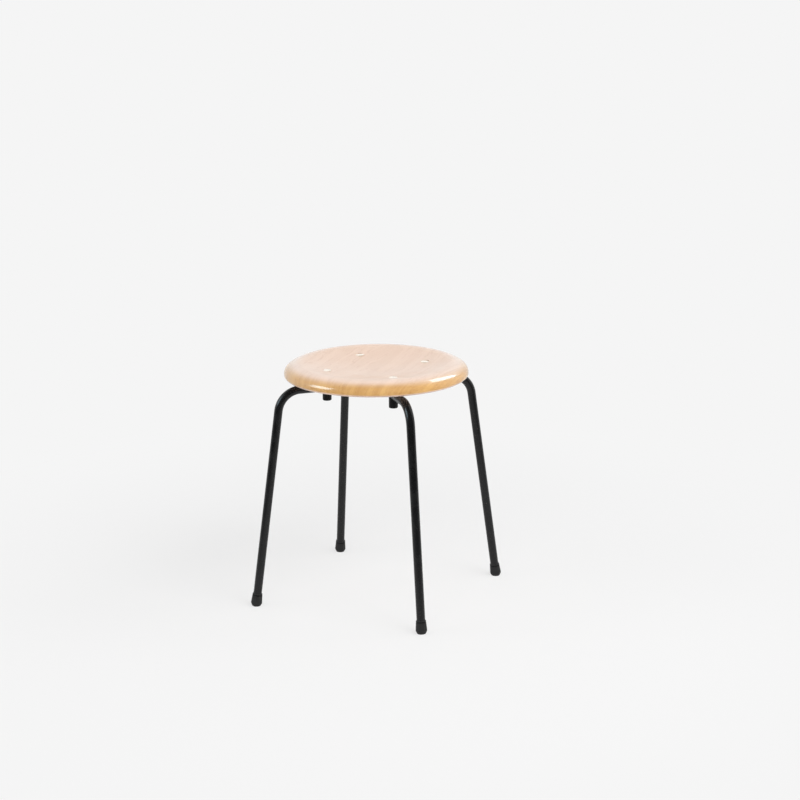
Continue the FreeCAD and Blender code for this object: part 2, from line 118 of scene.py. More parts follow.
class Carries(Enum):
    """What a port of an effect carries, as Blender names its kinds of sockets."""

    NUMBER = "NodeSocketFloat"
    VECTOR = "NodeSocketVector"


class Graph:
    """A shader node tree, filled with short calls."""

    def __init__(self, tree: bpy.types.NodeTree) -> None:
        """Keep the tree that the calls fill."""
        self.tree = tree

    def node(
        self, kind: str, feeds: Mapping[str | int, Feed] | None = None, **settings: object
    ) -> bpy.types.Node:
        """Add a node.

        Args:
            kind: Blender's name of the node type.
            feeds: What goes into its inputs, by name or number.
            **settings: Values of the node's own properties.

        Returns:
            The new node.
        """
        made = self.tree.nodes.new(kind)
        for name, value in settings.items():
            setattr(made, name, value)
        for name, value in (feeds or {}).items():
            self.feed(made.inputs[name], value)
        return made

    def feed(self, socket: Socket, value: Feed) -> None:
        """Link an input to an output, or set it to a plain value.

        Args:
            socket: The input.
            value: The output of another node, a number or a colour.
        """
        if isinstance(value, Socket):
            self.tree.links.new(value, socket)
        else:
            socket.default_value = value

    def maths(self, operation: str, *values: Feed) -> Socket:
        """Work out a number from one to three others."""
        return self.node("ShaderNodeMath", dict(enumerate(values)), operation=operation).outputs[0]

    def plus(self, first: Feed, second: Feed) -> Socket:
        """Add two numbers."""
        return self.maths("ADD", first, second)

    def minus(self, first: Feed, second: Feed) -> Socket:
        """Take the second number from the first."""
        return self.maths("SUBTRACT", first, second)

    def times(self, first: Feed, second: Feed) -> Socket:
        """Multiply two numbers."""
        return self.maths("MULTIPLY", first, second)

    def over(self, first: Feed, second: Feed) -> Socket:
        """Divide the first number by the second."""
        return self.maths("DIVIDE", first, second)

    def larger(self, first: Feed, second: Feed) -> Socket:
        """Take the larger of two numbers."""
        return self.maths("MAXIMUM", first, second)

    def apart(self, first: Feed, second: Feed) -> Socket:
        """How far two numbers lie from each other."""
        return self.maths("ABSOLUTE", self.minus(first, second))

    def length(self, x: Feed, y: Feed) -> Socket:
        """Length of a step that is x long one way and y long across it."""
        return self.maths("SQRT", self.plus(self.times(x, x), self.times(y, y)))

    def vector(self, x: Feed, y: Feed, z: Feed) -> Socket:
        """Join three numbers in a vector."""
        return self.node("ShaderNodeCombineXYZ", {"X": x, "Y": y, "Z": z}).outputs[0]

    def parts(self, vector: Socket) -> tuple[Socket, ...]:
        """Split a vector in its three numbers."""
        return tuple(self.node("ShaderNodeSeparateXYZ", {0: vector}).outputs)

    def vector_maths(self, operation: str, *values: Feed) -> Socket:
        """Work out a vector from one or two others."""
        feeds = dict(enumerate(values))
        return self.node("ShaderNodeVectorMath", feeds, operation=operation).outputs["Vector"]

    def measure(self, operation: str, *values: Feed) -> Socket:
        """Work out a number from one or two vectors."""
        feeds = dict(enumerate(values))
        return self.node("ShaderNodeVectorMath", feeds, operation=operation).outputs["Value"]

    def remap(
        self, value: Feed, span: tuple[Feed, Feed], to: tuple[Feed, Feed] = NONE_TO_FULL
    ) -> Socket:
        """Carry a number smoothly from one range to another.

        Args:
            value: The number.
            span: Start and end of its range.
            to: What the start and the end become.

        Returns:
            The new number, held between the last two.
        """
        names = ("Value", "From Min", "From Max", "To Min", "To Max")
        feeds = dict(zip(names, (value, *span, *to)))
        return self.node("ShaderNodeMapRange", feeds, interpolation_type="SMOOTHSTEP").outputs[0]

    def noise(
        self, vector: Feed, scale: Feed, detail: float = 2.0, roughness: float = 0.5
    ) -> Socket:
        """Add smooth noise.

        Args:
            vector: The place that it is read at.
            scale: Lumps in each unit of length.
            detail: How many times finer lumps are added.
            roughness: How much the finer lumps count.

        Returns:
            A number from 0 to 1.
        """
        feeds = {"Vector": vector, "Scale": scale, "Detail": detail, "Roughness": roughness}
        return self.node("ShaderNodeTexNoise", feeds).outputs["Fac"]

    def blend(self, factor: Feed, first: Feed, second: Feed) -> Socket:
        """Mix two colours.

        Args:
            factor: Share of the second one.
            first: Colour at a factor of 0.
            second: Colour at a factor of 1.

        Returns:
            The mixed colour.
        """
        feeds = {0: factor, 6: first, 7: second}
        return self.node("ShaderNodeMix", feeds, data_type="RGBA").outputs[2]

    def effect(self, kind: "type[Effect]", feeds: Mapping[str, Feed]) -> Mapping[str, Socket]:
        """Place a shared effect with this tree's own values, and give its outputs by name."""
        return self.node("ShaderNodeGroup", feeds, node_tree=kind.tree()).outputs


@dataclass(frozen=True)
class Port:
    """One input or output of an effect."""

    name: str
    carries: Carries = Carries.NUMBER
    start: float = 0.0


class Effect:
    """A shader node group that several finishes share and that is built once."""

    label: ClassVar[str]
    takes: ClassVar[tuple[Port, ...]]
    gives: ClassVar[tuple[Port, ...]]

    @classmethod
    def tree(cls) -> bpy.types.NodeTree:
        """Find the group, or build it the first time.

        Returns:
            The group's tree.
        """
        made = bpy.data.node_groups.get(cls.label)
        if made is None:
            made = bpy.data.node_groups.new(cls.label, "ShaderNodeTree")
            for side, ports in (("INPUT", cls.takes), ("OUTPUT", cls.gives)):
                for port in ports:
                    socket = made.interface.new_socket(
                        port.name, in_out=side, socket_type=port.carries.value
                    )
                    if port.carries is Carries.NUMBER:
                        socket.default_value = port.start
            graph = Graph(made)
            inside = graph.node("NodeGroupInput").outputs
            filled = cls.fill(graph, {port.name: inside[port.name] for port in cls.takes})
            graph.node("NodeGroupOutput", filled)
        return made

    @classmethod
    def fill(cls, graph: Graph, inside: Mapping[str, Socket]) -> dict[str, Socket]:
        """Build the group's nodes.

        Args:
            graph: The group's tree.
            inside: The group's inputs, by name.

        Returns:
            What feeds each of its outputs, by name.
        """
        raise NotImplementedError


class SheetPlace(Effect):
    """Place on the flat veneer sheet before it was pressed over the rim."""

    label = "sheet_place"
    takes = (
        Port("Place", Carries.VECTOR),
        Port("Crest Radius"),
        Port("Crest Height"),
        Port("Side Height"),
        Port("Side Drop"),
    )
    gives = (Port("Sheet", Carries.VECTOR), Port("Radius"), Port("Height"))
    bend_share = 0.55
    least_radius = 1e-6

    @classmethod
    def fill(cls, graph: Graph, inside: Mapping[str, Socket]) -> dict[str, Socket]:
        """Add to the radius what the sheet drops past the crest, so that its grain runs on.

        Args:
            graph: The group's tree.
            inside: The group's inputs, by name.

        Returns:
            The place on the sheet, and the radius and height on the seat.
        """
        x, y, z = graph.parts(inside["Place"])
        radius = graph.length(x, y)
        past = graph.maths("GREATER_THAN", radius, inside["Crest Radius"])
        bend = graph.minus(inside["Crest Height"], graph.larger(z, inside["Side Height"]))
        bend = graph.times(graph.larger(bend, 0.0), cls.bend_share)
        side = graph.larger(graph.minus(inside["Side Height"], z), 0.0)
        side = graph.maths("MINIMUM", side, inside["Side Drop"])
        reach = graph.plus(radius, graph.times(past, graph.plus(bend, side)))
        stretch = graph.over(reach, graph.larger(radius, cls.least_radius))
        sheet = graph.vector(graph.times(x, stretch), graph.times(y, stretch), 0.0)
        return {"Sheet": sheet, "Radius": radius, "Height": z}


@dataclass(frozen=True)
class Lumps:
    """A noise that is stretched along the grain."""

    across: float = 1.0
    along: float = 1.0
    scale: float = 1.0
    detail: float = 2.0
    roughness: float = 0.5

    def build(self, graph: Graph, x: Socket, y: Socket, seed: Socket) -> Socket:
        """Add the noise.

        Args:
            graph: The tree that asks.
            x: Place across the grain.
            y: Place along the grain.
            seed: Picks one sheet of veneer.

        Returns:
            A number from 0 to 1.
        """
        place = graph.vector(graph.times(x, self.across), graph.times(y, self.along), seed)
        return graph.noise(place, self.scale, self.detail, self.roughness)


class VeneerGrain(Effect):
    """Figure of a rotary cut beech veneer with its grain along Y: bands, short flecks and pores."""

    label = "veneer_grain"
    takes = (
        Port("Sheet", Carries.VECTOR),
        Port("Seed"),
        Port("Band Width", start=0.02),
        Port("Fleck Length", start=0.0022),
        Port("Fleck Width", start=0.0004),
    )
    gives = (Port("Bands"), Port("Flecks"), Port("Pores"), Port("Vein"))
    wander = Lumps(across=6.0, along=3.0, detail=3.0)
    wander_reach = 0.05
    slow = Lumps(along=4.0, detail=4.0, roughness=0.55)
    fine = Lumps(across=7.0, along=9.0)
    fine_share = 0.25
    dashes = Lumps(scale=0.55, detail=1.0, roughness=0.4)
    crowds = Lumps(across=55.0, along=25.0)
    crowd_span = (0.3, 0.7)
    fleck_levels = (0.68, 0.6)
    fleck_edge = 0.07
    dots = Lumps(across=2.6, along=1.4, detail=0.0)
    pore_span = (0.64, 0.72)
    middle = 0.5
    vein_reach = 0.012

    @classmethod
    def fill(cls, graph: Graph, inside: Mapping[str, Socket]) -> dict[str, Socket]:
        """Stretch several noises along the grain and cut them to bands, dashes and dots.

        Args:
            graph: The group's tree.
            inside: The group's inputs, by name.

        Returns:
            The masks of the bands, flecks, pores and veins.
        """
        x, y, _ = graph.parts(inside["Sheet"])
        seed = inside["Seed"]
        wander = graph.minus(cls.wander.build(graph, x, y, seed), cls.middle)
        across = graph.plus(x, graph.times(wander, cls.wander_reach))
        across = graph.over(across, inside["Band Width"])
        slow = cls.slow.build(graph, across, y, seed)
        fine = cls.fine.build(graph, across, y, seed)
        bands = graph.plus(
            graph.times(slow, 1.0 - cls.fine_share), graph.times(fine, cls.fine_share)
        )

        dash_x = graph.over(x, inside["Fleck Width"])
        dash_y = graph.over(y, inside["Fleck Length"])
        dashes = cls.dashes.build(graph, dash_x, dash_y, seed)
        level = graph.remap(cls.crowds.build(graph, x, y, seed), cls.crowd_span, cls.fleck_levels)
        flecks = graph.remap(dashes, (level, graph.plus(level, cls.fleck_edge)))
        pores = graph.remap(cls.dots.build(graph, dash_x, dash_y, seed), cls.pore_span)
        vein = graph.remap(graph.apart(slow, cls.middle), (0.0, cls.vein_reach), FULL_TO_NONE)
        return {"Bands": bands, "Flecks": flecks, "Pores": pores, "Vein": vein}


class FineRelief(Effect):
    """Small relief of a sprayed or moulded skin, and the way handling dulls it."""

    label = "fine_relief"
    takes = (
        Port("Place", Carries.VECTOR),
        Port("Grain Size", start=0.001),
        Port("Lump Size", start=0.006),
        Port("Lump Share", start=0.5),
        Port("Smudge Size", start=0.03),
    )
    gives = (Port("Height"), Port("Smudge"), Port("Speck"))
    # The size, detail and roughness of each noise.
    layers = (("Grain Size", 1.0, 0.5), ("Lump Size", 2.0, 0.5), ("Smudge Size", 5.0, 0.6))
    smudge_span = (0.42, 0.66)
    specks_per_grain = 0.45
    speck_span = (0.74, 0.8)

    @classmethod
    def fill(cls, graph: Graph, inside: Mapping[str, Socket]) -> dict[str, Socket]:
        """Add a fine noise to a slow one, and read smudges and specks from two more.

        Args:
            graph: The group's tree.
            inside: The group's inputs, by name.

        Returns:
            The relief's height, and the masks of smudges and specks.
        """
        place = inside["Place"]
        grain, lump, smudge = (
            graph.noise(place, graph.over(1.0, inside[size]), detail, roughness)
            for size, detail, roughness in cls.layers
        )
        share = inside["Lump Share"]
        height = graph.plus(
            graph.times(lump, share), graph.times(grain, graph.minus(1.0, share))
        )
        specks = graph.over(cls.specks_per_grain, inside["Grain Size"])
        return {
            "Height": height,
            "Smudge": graph.remap(smudge, cls.smudge_span),
            "Speck": graph.remap(graph.noise(place, specks, detail=0.0), cls.speck_span),
        }


@dataclass(frozen=True)
class Skin:
    """Sizes of a surface's fine relief, and its roughness where it is clean and smudged."""

    grain: float
    lump: float
    depth: float
    roughness: Span
    lump_share: float = 0.5
    smudge: float = 30 * MM


@dataclass(frozen=True)
class Finish:
    """How one kind of surface looks. Each kind says what its shader takes."""

    slot: ClassVar[Slot]
    label: ClassVar[str]
    skin: ClassVar[Skin]
    fixed: ClassVar[Mapping[str, float]]

    def material(self) -> bpy.types.Material:
        """Find this finish's material, or build it the first time.

        Returns:
            The material.
        """
        made = bpy.data.materials.get(self.label)
        if made is None:
            made = bpy.data.materials.new(self.label)
            made.use_nodes = True
            graph = Graph(made.node_tree)
            shader = made.node_tree.nodes["Principled BSDF"]
            place = graph.node("ShaderNodeTexCoord").outputs["Object"]
            for name, value in {**self.fixed, **self.shade(graph, place)}.items():
                graph.feed(shader.inputs[name], value)
        return made

    def shade(self, graph: Graph, place: Socket) -> dict[str, Feed]:
        """Build the finish's nodes.

        Args:
            graph: The material's tree.
            place: Object coordinates, in metres.

        Returns:
            What goes into each input of the shader that isn't fixed, by name.
        """
        raise NotImplementedError

    def relief(self, graph: Graph, place: Socket) -> Mapping[str, Socket]:
        """Place the shared relief with this skin's sizes.

        Args:
            graph: The material's tree.
            place: Object coordinates, in metres.

        Returns:
            The relief's outputs, by name.
        """
        return graph.effect(FineRelief, {
            "Place": place,
            "Grain Size": self.skin.grain,
            "Lump Size": self.skin.lump,
            "Lump Share": self.skin.lump_share,
            "Smudge Size": self.skin.smudge,
        })

    def roughness(self, graph: Graph, relief: Mapping[str, Socket]) -> Socket:
        """Dull the surface where it is smudged."""
        return graph.remap(relief["Smudge"], NONE_TO_FULL, self.skin.roughness)

    def bump(self, graph: Graph, height: Socket) -> Socket:
        """Turn a height from 0 to 1 into a normal, as deep as the skin's relief."""
        feeds = {"Height": height, "Distance": self.skin.depth, "Strength": 1.0}
        return graph.node("ShaderNodeBump", feeds).outputs[0]

    def dress(self, *names: str) -> None:
        """Give the material to CAD nodes.

        Args:
            *names: The nodes.
        """
        for name in names:
            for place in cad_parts[name].material_slots:
                place.material = self.material()
            LOG.info("%s: %s", name, self.label)


@dataclass(frozen=True)
class LacqueredBeech(Finish):
    """Clear lacquer over moulded beech veneer, with the plies showing at the lip's cut edge."""

    slot: ClassVar[Slot] = Slot.BEECH
    label: ClassVar[str] = "lacquered_beech"
    skin: ClassVar[Skin] = Skin(
        grain=2.5 * MM, lump=30 * MM, depth=0.03 * MM, roughness=(0.33, 0.4), smudge=45 * MM
    )
    fixed: ClassVar[Mapping[str, float]] = {
        "Specular IOR Level": 0.3, "Coat Roughness": 0.11, "Coat IOR": 1.5,
    }
    # pale and warm are the top's colours, paler than the rim's by a painted sheen; the cut plies
    # reuse them.
    pale: Colour = tone(232, 205, 186)
    warm: Colour = tone(226, 198, 178)
    rim_pale: Colour = tone(217, 173, 111)
    rim_warm: Colour = tone(200, 153, 92)
    fleck: Colour = tone(166, 104, 56)
    glue: Colour = tone(124, 76, 42)
    seat_radius: float = 175 * MM
    crest_radius: float = 144.2 * MM
    crest_height: float = 458.2 * MM
    side_height: float = 438.1 * MM
    side_drop: float = 10 * MM
    lip_height: float = 437.3 * MM
    shell: float = 12 * MM
    plies: int = 9
    under_normal: float = -0.3
    under_seed: float = 7.3
    band_span: Span = (0.36, 0.64)
    vein_share: float = 0.18
    fleck_shares: Span = (0.21, 0.55)
    pore_shares: Span = (0.1, 0.22)
    pore_depth: float = 0.15
    # From here out the painted sheen of the top gives way to the rim's own colour.
    warms_past_crest: float = 10 * MM
    warm_before_edge: float = 2.5 * MM
    seam_span: Span = (0.44, 0.49)
    seam_share: float = 0.8
    fibre_scale: float = 900.0
    fibre_detail: float = 3.0
    fibre_share: float = 0.5
    cut_radius: float = 162 * MM
    cut_drops: Span = (1.6 * MM, 1.1 * MM)
    bolt_place: float = 69.44 * MM
    recess_radius: float = 8.25 * MM
    recess_edge: Span = (0.2 * MM, 0.7 * MM)
    sat_on_radius: float = 135 * MM
    untouched_radius: float = 158 * MM
    sat_on_gloss: float = 0.35

    def face(self, graph: Graph, radius: Socket, grain: Mapping[str, Socket]) -> Socket:
        """Colour the face veneer, pale on the top and warm round the rim: the top's paler colour is
        a painted sheen over the beech.

        Args:
            graph: The material's tree.
            radius: Distance from the seat's axis.
            grain: The veneer's masks, by name.

        Returns:
            The colour.
        """
        band = graph.remap(grain["Bands"], self.band_span)
        bent = graph.remap(
            radius,
            (self.crest_radius + self.warms_past_crest, self.seat_radius - self.warm_before_edge),
        )
        # The top's colours carry a painted sheen; the rim's are the beech's own colour.
        top = graph.blend(band, self.pale, self.warm)
        rim = graph.blend(band, self.rim_pale, self.rim_warm)
        colour = graph.blend(bent, top, rim)
        colour = graph.blend(graph.times(grain["Vein"], self.vein_share), colour, self.fleck)
        for mask, shares in (("Flecks", self.fleck_shares), ("Pores", self.pore_shares)):
            share = graph.times(grain[mask], graph.remap(bent, NONE_TO_FULL, shares))
            colour = graph.blend(share, colour, self.fleck)
        return colour

    def cut_edge(self, graph: Graph, place: Socket, radius: Socket) -> Socket:
        """Colour the cut plies of the lip, in turn pale and warm with a dark line of glue between.

        Args:
            graph: The material's tree.
            place: Object coordinates, in metres.
            radius: Distance from the seat's axis.

        Returns:
            The colour.
        """
        depth = graph.over(graph.minus(self.seat_radius, radius), self.shell / self.plies)
        layer = graph.maths("MODULO", graph.maths("FLOOR", depth), 2.0)
        seam = graph.remap(graph.apart(graph.maths("FRACT", depth), 0.5), self.seam_span)
        fibre = graph.noise(place, self.fibre_scale, self.fibre_detail)
        # The plies take the top's colours, which hold the painted sheen.
        colour = graph.blend(layer, self.pale, self.warm)
        colour = graph.blend(graph.times(fibre, self.fibre_share), colour, self.fleck)
        return graph.blend(graph.times(seam, self.seam_share), colour, self.glue)

    def is_cut(self, graph: Graph, sheet: Mapping[str, Socket]) -> Socket:
        """Find the lip's cut edge.

        Args:
            graph: The material's tree.
            sheet: The seat's radius and height, by name.

        Returns:
            1 on the cut edge, 0 on the faces.
        """
        start, end = (self.lip_height - drop for drop in self.cut_drops)
        low = graph.remap(sheet["Height"], (start, end), FULL_TO_NONE)
        return graph.times(low, graph.maths("GREATER_THAN", sheet["Radius"], self.cut_radius))

    def gloss(self, graph: Graph, place: Socket, radius: Socket) -> Socket:
        """Tell how thick the lacquer lies: less where people sit, and none in the bolts' recesses.

        Args:
            graph: The material's tree.
            place: Object coordinates, in metres.
            radius: Distance from the seat's axis.

        Returns:
            The weight of the coat.
        """
        sides = (graph.maths("ABSOLUTE", side) for side in graph.parts(place)[:2])
        from_bolt = graph.length(*(graph.minus(side, self.bolt_place) for side in sides))
        inner, outer = (self.recess_radius + step for step in self.recess_edge)
        worn = graph.remap(
            radius, (self.sat_on_radius, self.untouched_radius), (self.sat_on_gloss, 1.0)
        )
        return graph.times(graph.remap(from_bolt, (inner, outer)), worn)

    def shade(self, graph: Graph, place: Socket) -> dict[str, Feed]:
        """Lay the grain on the bent sheet and mix the face veneer with the cut plies.

        Args:
            graph: The material's tree.
            place: Object coordinates, in metres.

        Returns:
            What goes into each input of the shader that isn't fixed, by name.
        """
        sheet = graph.effect(SheetPlace, {
            "Place": place,
            "Crest Radius": self.crest_radius,
            "Crest Height": self.crest_height,
            "Side Height": self.side_height,
            "Side Drop": self.side_drop,
        })
        radius = sheet["Radius"]
        normal = graph.parts(graph.node("ShaderNodeNewGeometry").outputs["True Normal"])[2]
        under = graph.maths("LESS_THAN", normal, self.under_normal)
        grain = graph.effect(VeneerGrain, {
            "Sheet": sheet["Sheet"], "Seed": graph.times(under, self.under_seed),
        })
        relief = self.relief(graph, place)
        height = graph.minus(relief["Height"], graph.times(grain["Pores"], self.pore_depth))
        face = self.face(graph, radius, grain)
        cut_edge = self.cut_edge(graph, place, radius)
        return {
            "Base Color": graph.blend(self.is_cut(graph, sheet), face, cut_edge),
            "Roughness": self.roughness(graph, relief),
            "Normal": self.bump(graph, height),
            "Coat Weight": self.gloss(graph, place, radius),
        }


@dataclass(frozen=True)
class MouldedRubber(Finish):
    """Matt black rubber with a stippled skin, a little paler where it rubs the floor."""

    slot: ClassVar[Slot] = Slot.RUBBER
    label: ClassVar[str] = "black_rubber_skin"
    skin: ClassVar[Skin] = Skin(
        grain=0.35 * MM, lump=3 * MM, depth=0.04 * MM, roughness=(0.58, 0.7), lump_share=0.3,
        smudge=8 * MM,
    )
    fixed: ClassVar[Mapping[str, float]] = {"Specular IOR Level": 0.2}
    colour: Colour = tone(40, 40, 40)
    scuffed: Colour = tone(66, 65, 63)
    # Painted shade for the groove below each foot's mouth. The groove is also cut into the feet.
    painted_groove_shade: Colour = tone(6, 6, 6)
    scuff_reach: Span = (0.2 * MM, 3.5 * MM)
    leg_splay: float = math.radians(7.95)
    foot_circle: float = 246.9 * MM
    groove_height: float = 21.6 * MM
    groove_reach: Span = (0.6 * MM, 1.3 * MM)

    def groove(self, graph: Graph, place: Socket) -> Socket:
        """Find the moulded groove that runs round each foot below its mouth.

        Args:
            graph: The material's tree.
            place: Object coordinates, in metres.

        Returns:
            1 in the groove, 0 beside it.
        """
        # All legs stand on the diagonals, so one axis fits them all once X and Y lose their sign.
        lean = -math.sin(self.leg_splay) * math.sqrt(0.5)
        axis = (lean, lean, math.cos(self.leg_splay))
        along = graph.measure("DOT_PRODUCT", graph.vector_maths("ABSOLUTE", place), axis)
        middle = self.groove_height - self.foot_circle * math.sin(self.leg_splay)
        return graph.remap(graph.apart(along, middle), self.groove_reach, FULL_TO_NONE)

    def shade(self, graph: Graph, place: Socket) -> dict[str, Feed]:
        """Scuff the rubber near the floor and paint shade into the groove below its mouth.

        Args:
            graph: The material's tree.
            place: Object coordinates, in metres.

        Returns:
            What goes into each input of the shader that isn't fixed, by name.
        """
        relief = self.relief(graph, place)
        low = graph.remap(graph.parts(place)[2], self.scuff_reach, FULL_TO_NONE)
        skin = graph.blend(graph.times(low, relief["Smudge"]), self.colour, self.scuffed)
        return {
            # The groove gets painted shade on top of its cut geometry.
            "Base Color": graph.blend(self.groove(graph, place), skin, self.painted_groove_shade),
            "Roughness": self.roughness(graph, relief),
            "Normal": self.bump(graph, relief["Height"]),
        }


@dataclass(frozen=True)
class TwoToneFinish(Finish):
    """A skin of one colour, with a second one in its smudges or specks."""

    mark: ClassVar[Mark] = Mark.SMUDGES
    colour: Colour
    marked: Colour

    def shade(self, graph: Graph, place: Socket) -> dict[str, Feed]:
        """Mix the two colours and add the relief.

        Args:
            graph: The material's tree.
            place: Object coordinates, in metres.

        Returns:
            What goes into each input of the shader that isn't fixed, by name.
        """
        relief = self.relief(graph, place)
        return {
            "Base Color": graph.blend(relief[self.mark.value], self.colour, self.marked),
            "Roughness": self.roughness(graph, relief),
            "Normal": self.bump(graph, relief["Height"]),
        }


@dataclass(frozen=True)
class PowderCoat(TwoToneFinish):
    """Satin black powder coat with a slight orange peel, greyer where hands rub it."""

    slot: ClassVar[Slot] = Slot.FRAME_PAINT
    label: ClassVar[str] = "black_powder_coat"
    skin: ClassVar[Skin] = Skin(
        grain=0.5 * MM, lump=1.6 * MM, depth=0.02 * MM, roughness=(0.25, 0.33), lump_share=0.75
    )
    fixed: ClassVar[Mapping[str, float]] = {"Specular IOR Level": 0.34}
    colour: Colour = tone(14, 14, 15)
    marked: Colour = tone(22, 22, 23)


@dataclass(frozen=True)
class MouldedPlastic(TwoToneFinish):
    """Black polyamide with the fine spark texture of its mould, paler on the peaks."""

    slot: ClassVar[Slot] = Slot.PLASTIC
    label: ClassVar[str] = "black_moulded_plastic"
    skin: ClassVar[Skin] = Skin(
        grain=0.25 * MM, lump=2 * MM, depth=0.03 * MM, roughness=(0.44, 0.54), lump_share=0.25,
        smudge=10 * MM,
    )
    fixed: ClassVar[Mapping[str, float]] = {"Specular IOR Level": 0.25}
    mark: ClassVar[Mark] = Mark.SPECKS
    colour: Colour = tone(17, 17, 18)
    marked: Colour = tone(34, 34, 35)


@dataclass(frozen=True)
class BrightNickel(TwoToneFinish):
    """Polished nickel plate, dulled in soft patches."""

    slot: ClassVar[Slot] = Slot.BRIGHT_STEEL
    label: ClassVar[str] = "bright_nickel"
    skin: ClassVar[Skin] = Skin(
        grain=0.3 * MM, lump=2.5 * MM, depth=0.004 * MM, roughness=(0.2, 0.28), smudge=4 * MM
    )
    fixed: ClassVar[Mapping[str, float]] = {"Metallic": 1.0}
    colour: Colour = tone(255, 250, 240)
    marked: Colour = tone(250, 243, 231)


@dataclass(frozen=True)
class ZincPlate(TwoToneFinish):
    """Bright zinc plate, slightly clouded, with a fine tooth."""

    slot: ClassVar[Slot] = Slot.ZINC_STEEL
    label: ClassVar[str] = "zinc_plate"
    skin: ClassVar[Skin] = Skin(
        grain=0.2 * MM, lump=1.5 * MM, depth=0.006 * MM, roughness=(0.3, 0.45), smudge=3 * MM
    )
    fixed: ClassVar[Mapping[str, float]] = {"Metallic": 1.0}
    colour: Colour = tone(205, 208, 211)
    marked: Colour = tone(176, 178, 178)


def pick(piece: bpy.types.Object) -> None:
    """Select one object alone and make it the active one.

    Args:
        piece: The object.
    """
    bpy.ops.object.select_all(action="DESELECT")
    piece.select_set(True)
    bpy.context.view_layer.objects.active = piece


def select_points(piece: bpy.types.Object, wanted: Callable[[Vector], bool]) -> None:
    """Select a mesh's points in edit mode by their place.

    Args:
        piece: The object, which is left in edit mode.
        wanted: Says whether a place is selected.
    """
    bpy.ops.object.mode_set(mode="EDIT")
    bpy.ops.mesh.select_mode(type="VERT")
    bpy.ops.mesh.select_all(action="DESELECT")
    bpy.ops.object.mode_set(mode="OBJECT")
    for point in piece.data.vertices:
        point.select = wanted(point.co)
    bpy.ops.object.mode_set(mode="EDIT")


@dataclass
class WeldBead:
    """Ripples of the weld that runs round a tube where it meets the hub."""

    ring_radius: float = 8.75 * MM
    bead_radius: float = 1.45 * MM
    from_centre: float = 12.7 * MM
    tube_height: float = 417.13 * MM
    ripples: int = 26
    rings_each: int = 4
    points_round: int = 12
    ripple_rise: float = 0.16 * MM
    smoothings: int = 1
    finish: Finish = field(default_factory=PowderCoat)

    def model(self) -> bpy.types.Object:
        """Make the bead round +X at the origin: a ring whose ripples swell and then drop.

        Returns:
            The bead, smooth and painted.
        """
        bpy.ops.object.select_all(action="DESELECT")
        bpy.ops.mesh.primitive_torus_add(
            major_segments=self.ripples * self.rings_each, minor_segments=self.points_round,
            major_radius=self.ring_radius, minor_radius=self.bead_radius,
            rotation=(0.0, math.pi / 2, 0.0), location=(0.0, 0.0, 0.0),
        )
        bead = bpy.context.object
        step = 2 * math.pi / (self.ripples * self.rings_each)
        for ring in range(self.rings_each):
            def on_ring(place: Vector, ring: int = ring) -> bool:
                """Whether a place is on one of the rings that move together."""
                return round(math.atan2(place.y, place.x) / step) % self.rings_each == ring
            select_points(bead, on_ring)
            rise = self.ripple_rise * (ring / (self.rings_each - 1) - 0.5)
            bpy.ops.transform.shrink_fatten(value=rise)
        bpy.ops.object.mode_set(mode="OBJECT")
        bpy.ops.object.modifier_add(type="SUBSURF")
        smooth = bead.modifiers[-1]
        smooth.levels = smooth.render_levels = self.smoothings
        bpy.ops.object.modifier_apply(modifier=smooth.name)
        bpy.ops.object.shade_smooth()
        bead.data.materials.append(self.finish.material())
        return bead

    def place(self, bead: bpy.types.Object, leg: Leg) -> None:
        """Move a bead to its leg's tube and let it stand for the CAD bead.

        Args:
            bead: The bead, still at the origin.
            leg: The leg.
        """
        turn = Matrix.Rotation(leg.turn, 4, "Z")
        shift = Matrix.Translation((self.from_centre, 0.0, self.tube_height))
        bead.matrix_world = turn @ shift @ bead.matrix_world
        pick(bead)
        bpy.ops.object.transform_apply(location=True, rotation=True, scale=True)
        bead.name = leg.node("weld_bead")
        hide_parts(leg.node("weld"))
        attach(bead, BODY)
        LOG.info("%s: %d faces", bead.name, len(bead.data.polygons))

    def build(self) -> None:
        """Model one bead and give each leg its own copy."""
        first = self.model()
        beads = [first]
        for _ in range(len(Leg) - 1):
            copy = first.copy()
            copy.data = first.data.copy()
            bpy.context.collection.objects.link(copy)
            beads.append(copy)
        for bead, leg in zip(beads, Leg):
            self.place(bead, leg)


@dataclass
class Seat:
    """The moulded shell."""

    finish: Finish = field(default_factory=LacqueredBeech)

    def build(self) -> None:
        """Lacquer the shell."""
        self.finish.dress("seat")


@dataclass
class Frame:
    """The hub, the four bent tubes and their weld beads."""

    paint: Finish = field(default_factory=PowderCoat)
    bead: WeldBead = field(default_factory=WeldBead)

    def build(self) -> None:
        """Paint the steel and weld it."""
        self.paint.dress("frame_hub", *(leg.node("leg") for leg in Leg))
        self.bead.build()


@dataclass
class SeatFixings:
    """What holds the seat on the tubes, and the buffers below."""

    plastic: Finish = field(default_factory=MouldedPlastic)
    nickel: Finish = field(default_factory=BrightNickel)
    zinc: Finish = field(default_factory=ZincPlate)

    def build(self) -> None:
        """Dress the spacers, buffers, bolts, washers and nuts."""
        for leg in Leg:
            self.plastic.dress(leg.node("spacer"), leg.node("stacking_buffer"))
            self.nickel.dress(leg.node("bolt"))
            self.zinc.dress(leg.node("washer"), leg.node("nut"))


